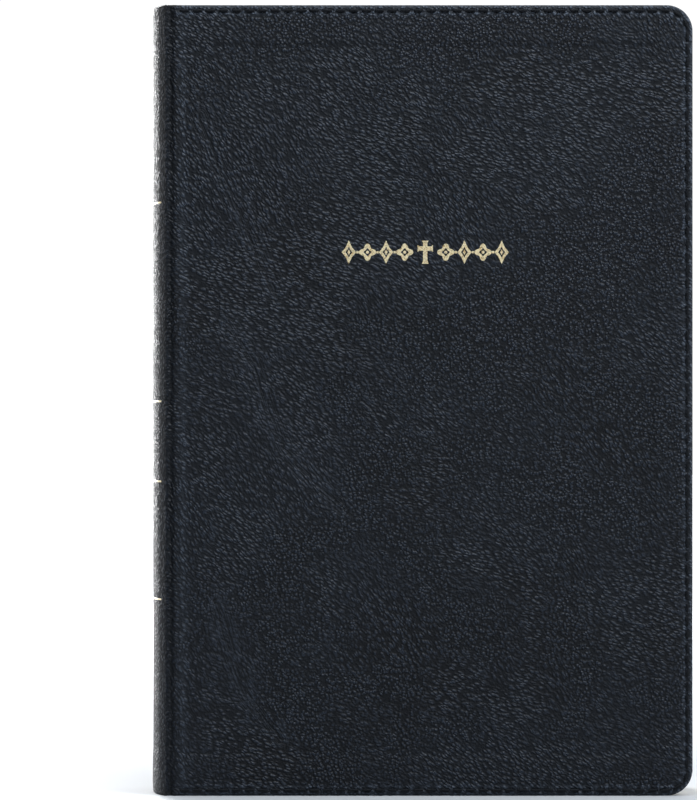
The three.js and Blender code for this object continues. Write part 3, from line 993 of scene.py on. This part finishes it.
def stitchTree():
    tree = nodeTree("runningStitch", [
        ("Pitch", "NodeSocketFloat", stitches["pitch"] * mm * 0.9999),
        ("Stitch Length", "NodeSocketFloat", stitches["length"] * mm),
        ("Thread Width", "NodeSocketFloat", stitches["width"] * mm),
        ("Thread Height", "NodeSocketFloat", stitches["height"] * mm),
        ("Seed", "NodeSocketInt", 3),
        ("Thread", "NodeSocketMaterial", None),
    ])
    group = treeNode(tree, "NodeGroupInput")
    spaced, facing = alongPath(tree, group, "Pitch", "X")
    half, wide, tall = [treeMaths(tree, "MULTIPLY", group.outputs[label], 0.5)
                        for label in ("Stitch Length", "Thread Width", "Thread Height")]
    # a short length of thread, rounded at the ends where it dives into its holes
    bead = treeNode(tree, "GeometryNodeMeshUVSphere", None, {"Segments": 10, "Rings": 8, "Radius": 1.0})
    size = treeNode(tree, "ShaderNodeCombineXYZ", None, {0: half, 1: tall, 2: wide})
    turned = treeNode(tree, "GeometryNodeTransform", None,
                      {"Geometry": bead, "Rotation": (0, math.pi / 2, 0)})
    # blunter than a ball: the girth falls off with the fourth root
    spot = treeNode(tree, "GeometryNodeInputPosition")
    parts = treeNode(tree, "ShaderNodeSeparateXYZ", None, {0: spot})
    left = treeMaths(tree, "SUBTRACT", 1.001, treeMaths(tree, "MULTIPLY", parts, parts))
    swell = treeMaths(tree, "POWER", left, -0.25)
    girth = treeNode(tree, "ShaderNodeCombineXYZ", None, {0: 1.0, 1: swell, 2: swell})
    fuller = treeNode(tree, "ShaderNodeVectorMath", {"operation": "MULTIPLY"}, {0: spot, 1: girth})
    blunt = treeNode(tree, "GeometryNodeSetPosition", None,
                     {"Geometry": turned, "Position": fuller})
    shaped = treeNode(tree, "GeometryNodeTransform", None,
                      {"Geometry": blunt, "Scale": size})
    jitter = treeNode(tree, "FunctionNodeRandomValue", {"data_type": "FLOAT_VECTOR"},
                      {"Min": (0.93, 0.85, 0.88), "Max": (1.05, 1.1, 1.1), "Seed": group.outputs["Seed"]})
    placed = treeNode(tree, "GeometryNodeInstanceOnPoints", None, {
        "Points": spaced, "Instance": shaped,
        "Rotation": facing, "Scale": jitter})
    real = treeNode(tree, "GeometryNodeRealizeInstances", None, {"Geometry": placed})
    dressed = treeNode(tree, "GeometryNodeSetMaterial", None,
                       {"Geometry": real, "Material": group.outputs["Thread"]})
    treeNode(tree, "NodeGroupOutput", None, {0: dressed})
    return tree


def setInput(modifier, label, value):
    tree = modifier.node_group
    socket = next(s for s in tree.interface.items_tree if s.name == label and s.in_out == "INPUT")
    modifier[socket.identifier] = value


def grown(name, points, tree, values):
    # runs a node tree on a path and keeps the plain mesh
    path = bpy.data.meshes.new(name + "_path")
    path.from_pydata([tuple(p) for p in points], [(i, i + 1) for i in range(len(points) - 1)], [])
    holder = placed(name + "_path", path)
    modifier = holder.modifiers.new("grow", "NODES")
    modifier.node_group = tree
    for label, value in values.items():
        setInput(modifier, label, value)
    mesh = plainMesh(holder)
    mesh.name = name
    mesh.polygons.foreach_set("use_smooth", np.ones(len(mesh.polygons), bool))
    return placed(name, mesh)


def stitchPath(inset, startX):
    # along the tail, round the corner, up the fore-edge and back along the head
    radius = coverShape["cornerRadius"] - inset
    cornerX = book["foreX"] - coverShape["cornerRadius"]
    lowZ = coverShape["cornerRadius"]
    highZ = book["height"] - coverShape["cornerRadius"]
    quarter = np.linspace(0, math.pi / 2, 9)
    low = [(x, inset) for x in steps(startX, cornerX, 2.0)[:-1]]
    lowTurn = [(cornerX + radius * math.sin(a), lowZ - radius * math.cos(a)) for a in quarter]
    up = [(book["foreX"] - inset, z) for z in steps(lowZ, highZ, 2.0)[1:-1]]
    highTurn = [(cornerX + radius * math.cos(a), highZ + radius * math.sin(a)) for a in quarter]
    back = [(x, book["height"] - inset) for x in steps(startX, cornerX, 2.0)[::-1][1:]]
    return np.array(low + lowTurn + up + highTurn + back)


def buildStitching(label, side, tree):
    path = stitchPath(stitches["inset"], book["hingeX"] + stitches["start"])
    outside = coverDepth(path[:, 0], path[:, 1], side) + stitches["sink"]
    inside = localThickness(path[:, 0]) - 0.12 - stitches["sink"]
    halves = []
    for depth in (outside, inside):
        smoothDepth = np.convolve(np.pad(depth, 3, mode="edge"), np.ones(7) / 7, "valid")
        points = np.stack([path[:, 0], side * (book["halfThick"] - smoothDepth), path[:, 1]], -1) * mm
        halves.append(grown(f"{label}_stitch_run", points, tree, {"Thread": coverThread, "Seed": 3 + side}))
    bpy.ops.object.select_all(action="DESELECT")
    for half in halves:
        half.select_set(True)
    bpy.context.view_layer.objects.active = halves[0]
    bpy.ops.object.join()
    piece = halves[0]
    piece.name = f"{label}_cover_stitches"
    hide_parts(f"{label}_stitching")
    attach(piece, f"{label}_cover")


print("stitching")
stitcher = stitchTree()
for coverLabel, coverSide in (("front", -1), ("back", 1)):
    buildStitching(coverLabel, coverSide, stitcher)


blockShape = {
    "cornerRadius": 6.5,
    "leafPitch": 0.18,
    "ragged": 0.06,
    "fill": 0.035,           # how far a leaf pile spreads into the gaps between the nodes
    "fold": 0.9,
    "rows": 22,
    "bendReach": 20,         # finer columns beside the gutter, where the pages bend
    "bendColumns": 21,
    "flatColumns": 14,
}


def pageGrid(backX, foreX, low, high):
    corner = blockShape["cornerRadius"]
    turn = np.linspace(0, math.pi / 2, 9)
    # the same number of columns at every depth, so that the two faces of a slab match
    near = np.linspace(backX, backX + blockShape["bendReach"], blockShape["bendColumns"])
    middle = np.linspace(near[-1], foreX - corner, blockShape["flatColumns"])
    x = np.concatenate([near, middle[1:], (foreX - corner + corner * np.sin(turn))[1:]])
    drop = np.where(x > foreX - corner,
                    corner - np.sqrt(np.maximum(corner ** 2 - (x - foreX + corner) ** 2, 0)), 0)
    share = np.linspace(0, 1, blockShape["rows"])
    X = np.broadcast_to(x[:, None], (len(x), len(share)))
    Z = (low + drop)[:, None] + (high - low - 2 * drop)[:, None] * share
    return X, Z


def outwardOf(loop):
    # unit directions pointing out of a closed loop of places in X and Z
    ahead = np.roll(loop, -1, 0) - np.roll(loop, 1, 0)
    ahead /= np.maximum(np.linalg.norm(ahead, axis=1), 1e-9)[:, None]
    return np.stack([ahead[:, 1], -ahead[:, 0]], 1)


def foreEdgeCurve():
    # the hollow of the fore-edge, read from the page nodes
    spots = []
    for node in frame["nodes"]:
        if "gathering" in node or "_leaf_" in node:
            low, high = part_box(node)
            spots.append(((low.y + high.y) / 2 / mm, high.x / mm))
    spots.sort()
    y, x = np.array(spots).T
    fit = np.polyfit(y, x, 2)
    return lambda at: np.polyval(fit, at)


foreEdgeAt = foreEdgeCurve()


def buildPages(name, node, seed, body, edgeMaterial, faceMaterial, bends, backX=None):
    low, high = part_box(node)
    low, high = low / mm, high / mm
    backX = low.x if backX is None else backX
    fold = 0.0 if bends else blockShape["fold"]
    yLow, yHigh = low.y - blockShape["fill"], high.y + blockShape["fill"]

    def gridAt(y):
        t = (y - yLow) / (yHigh - yLow) * 2 - 1
        back = backX + fold * (1 - math.sqrt(max(1 - t * t, 0)))
        return pageGrid(back, float(foreEdgeAt(y)), low.z, high.z)

    def sheetAt(y):
        X, Z = gridAt(y)
        return np.stack([X, np.full_like(X, y), Z], -1)

    near, far = sheetAt(yLow), sheetAt(yHigh)
    count = max(1, int(round((yHigh - yLow) / blockShape["leafPitch"])))
    draw = np.random.default_rng(seed)
    rings = []
    for k in range(count):
        shift = -blockShape["ragged"] * draw.uniform(0, 1)
        for part in (0.1, 0.9):
            y = yLow + (yHigh - yLow) * (k + part) / count
            border = rim(np.stack(gridAt(y), -1))
            onEdge = (border[:, 0] > backX + 1.5).astype(float)
            place = border + outwardOf(border) * (shift * onEdge)[:, None]
            rings.append(np.stack([place[:, 0], np.full(len(place), y), place[:, 1]], -1))
    piece = addSlab(name, near, far, rings, faceMaterial, 30)
    piece.data.materials.append(edgeMaterial)
    rows, columns = near.shape[:2]
    caps = 2 * (rows - 1) * (columns - 1)
    index = np.zeros(len(piece.data.polygons), np.int32)
    index[caps:] = 1
    piece.data.polygons.foreach_set("material_index", index)
    keepPlace(piece)
    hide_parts(node)
    if bends:
        y = low.y * mm
        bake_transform(piece)
    else:
        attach(piece, body)
    return piece


def buildBlock():
    for index in range(1, 9):
        buildPages(f"gathering_{index}", f"core_gathering_{index}", 60 + index, "spine", gilt, paper, False)
    for label in ("front", "back"):
        buildPages(f"{label}_outer_gathering", f"{label}_gathering", 81, f"{label}_gathering", gilt,
                   paper, True)
        fly = f"{label}_flyleaf"
        buildPages(f"{label}_fly_sheet", fly, 82, fly, flyPaper, flyPaper, True)
        for index in range(1, 5):
            node = f"{label}_leaf_{index}"
            buildPages(f"{label}_page_{index}", node, 83 + index, node, gilt, paper, True)


print("pages")
buildBlock()


bandShape = {"strand": 0.42, "core": 0.75, "spread": 0.72}


def bandTree():
    tree = nodeTree("wovenBand", [
        ("Strand Pitch", "NodeSocketFloat", bandShape["strand"] * mm),
        ("Core Radius", "NodeSocketFloat", bandShape["core"] * mm),
        ("Strand Radius", "NodeSocketFloat", bandShape["strand"] * 0.56 * mm),
        ("Group", "NodeSocketInt", 4),
        ("Light", "NodeSocketMaterial", None),
        ("Dark", "NodeSocketMaterial", None),
    ])
    group = treeNode(tree, "NodeGroupInput")
    spaced, facing = alongPath(tree, group, "Strand Pitch", "Z")
    order = treeNode(tree, "GeometryNodeInputIndex")
    stored = treeNode(tree, "GeometryNodeStoreNamedAttribute", {"data_type": "INT", "domain": "POINT"},
                      {"Geometry": spaced, "Name": "strandOrder", "Value": order})
    loop = treeNode(tree, "GeometryNodeCurvePrimitiveCircle", None,
                    {"Resolution": 10, "Radius": group.outputs["Core Radius"]})
    section = treeNode(tree, "GeometryNodeCurvePrimitiveCircle", None,
                       {"Resolution": 6, "Radius": group.outputs["Strand Radius"]})
    strand = treeNode(tree, "GeometryNodeCurveToMesh", None,
                      {"Curve": loop, "Profile Curve": section})
    placed = treeNode(tree, "GeometryNodeInstanceOnPoints", None, {
        "Points": stored, "Instance": strand, "Rotation": facing})
    real = treeNode(tree, "GeometryNodeRealizeInstances", None, {"Geometry": placed})
    named = treeNode(tree, "GeometryNodeInputNamedAttribute", {"data_type": "INT"}, {"Name": "strandOrder"})
    share = treeMaths(tree, "DIVIDE", named, group.outputs["Group"])
    odd = treeMaths(tree, "FLOORED_MODULO", treeMaths(tree, "FLOOR", share), 2.0)
    light = treeNode(tree, "GeometryNodeSetMaterial", None,
                     {"Geometry": real, "Material": group.outputs["Light"]})
    dark = treeNode(tree, "GeometryNodeSetMaterial", None,
                    {"Geometry": light, "Material": group.outputs["Dark"],
                     "Selection": odd})
    treeNode(tree, "NodeGroupOutput", None, {0: dark})
    return tree


def buildBands():
    tree = bandTree()
    goldSilk = threadMaterial("goldSilk", tint(206, 170, 96), tint(130, 98, 44))
    navySilk = threadMaterial("navySilk", tint(40, 48, 66), tint(14, 17, 26))
    for node, up in (("head_band", 1), ("tail_band", -1)):
        low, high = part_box(node)
        edge = (high.z if up > 0 else low.z) / mm
        half = high.y / mm - 0.8
        radius = spineArc["radius"] - (low.x / mm - book["spineX"]) - 0.8
        centre = spineArc["centre"]
        angles = np.linspace(-math.asin(half / radius), math.asin(half / radius), 40)
        z = edge - up * (bandShape["core"] + 0.2)
        points = np.stack([centre - radius * np.cos(angles), radius * np.sin(angles), np.full(40, z)], 1) * mm
        piece = grown(f"{node}_weave", points, tree, {"Light": goldSilk, "Dark": navySilk})
        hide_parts(node)
        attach(piece, "spine")


bowNow = spineShape["bow"]
spineArc = {"radius": (book["halfThick"] ** 2 + bowNow ** 2) / (2 * bowNow)}
spineArc["centre"] = book["spineX"] + spineArc["radius"]
print("bands")
buildBands()


def dress(node, material):
    piece = frame["nodes"][node]
    piece.data.materials.clear()
    piece.data.materials.append(material)


for label in ("front", "back"):
    dress(f"{label}_board", boardFibre)
    dress(f"{label}_lining", liningFibre)
    dress(f"{label}_pastedown", pastedPaper)
dress("spine_inlay", liningFibre)
dress("kraft_lining", kraftFibre)
dress("mull", mullCloth)
for index in range(1, 6):
    dress(f"sewing_thread_{index}", sewingLinen)


studio = {
    "distance": 1.4,
    "scale": 3.367,          # how large a millimetre of the front cover is drawn
    "imageHeight": 800,
    "aimX": -21.7,
    "aimZ": 117.6,
    "worldRamp": (-0.25, 0.3, 0.06, 1.05),   # dark in front of the book, bright behind it
}


def buildFloor():
    mesh = bpy.data.meshes.new("floor")
    reach = 6
    mesh.from_pydata([(-reach, -reach, 0), (reach, -reach, 0), (reach, reach, 0), (-reach, reach, 0)], [],
                     [(0, 1, 2, 3)])
    shade = Shade("floorWhite")
    place = shade.node("ShaderNodeTexCoord", out="Object")
    cloud = shade.noise(place, 3.0, 2.0)
    _, y, _ = shade.apart(place)
    # painted light: the floor's emission makes it glow a little further back, and more where the rim lamp
    # stops
    glow = shade.fit(y, 0.12, 0.5, 0.0, 0.5) + shade.fit(y, 0.7, 1.15, 0.0, 0.5)
    pale = shade.colours(cloud, (0.5, 0.52, 0.55, 1), (0.54, 0.56, 0.58, 1))
    pale = shade.colours(shade.fit(y, -0.1, 0.1), pale, (0.52, 0.545, 0.58, 1))
    shine = shade.colours(glow, (0, 0, 0, 1), (1, 1, 1, 1))
    mesh.materials.append(shade.finish(Base_Color=pale, Roughness=0.7, Emission_Color=shine,
                                       Emission_Strength=1.0))
    floor = placed("floor", mesh)


def areaLight(name, place, aim, size, power, colour=(1, 1, 1)):
    lamp = bpy.data.lights.new(name, "AREA")
    lamp.shape = "RECTANGLE"
    lamp.size, lamp.size_y = size
    lamp.energy = power
    lamp.color = colour
    holder = placed(name, lamp)
    holder.location = place
    holder.rotation_euler = (Vector(aim) - Vector(place)).to_track_quat("-Z", "Y").to_euler()
    holder.visible_camera = False


def buildLight():
    world = bpy.data.worlds.new("studio")
    bpy.context.scene.world = world
    world.use_nodes = True
    nodes, links = world.node_tree.nodes, world.node_tree.links
    direction = nodes.new("ShaderNodeTexCoord")
    split = nodes.new("ShaderNodeSeparateXYZ")
    links.new(direction.outputs["Generated"], split.inputs[0])
    ramp = nodes.new("ShaderNodeMapRange")
    ramp.interpolation_type = "SMOOTHSTEP"
    links.new(split.outputs[1], ramp.inputs[0])
    for socket, value in zip(list(ramp.inputs)[1:5], studio["worldRamp"]):
        socket.default_value = value
    background = nodes["Background"]
    background.inputs[0].default_value = (0.985, 0.992, 1, 1)
    links.new(ramp.outputs[0], background.inputs[1])
    areaLight("key", (0.55, -0.45, 0.88), (0.02, 0, 0.19), (0.3, 0.3), 5.4, (0.92, 0.96, 1))
    areaLight("top", (0.1, -0.24, 0.82), (0.02, 0, 0.22), (0.5, 0.25), 4.6, (0.92, 0.96, 1))
    areaLight("rim", (-0.42, 1.25, 0.25), (-0.08, 0, 0.12), (0.35, 1.2), 33)


def buildCamera():
    lens = bpy.data.cameras.new("camera")
    frontY = -book["halfThick"] * mm
    seen = studio["imageHeight"] / studio["scale"] * mm
    lens.sensor_width = 36
    lens.lens = 36 * studio["distance"] / seen
    lens.clip_end = 50
    holder = placed("camera", lens)
    holder.location = (studio["aimX"] * mm, frontY - studio["distance"], studio["aimZ"] * mm)
    holder.rotation_euler = (math.pi / 2, 0, 0)
    bpy.context.scene.camera = holder


print("studio")
buildFloor()
buildLight()
buildCamera()
bpy.context.scene.view_settings.view_transform = "Standard"
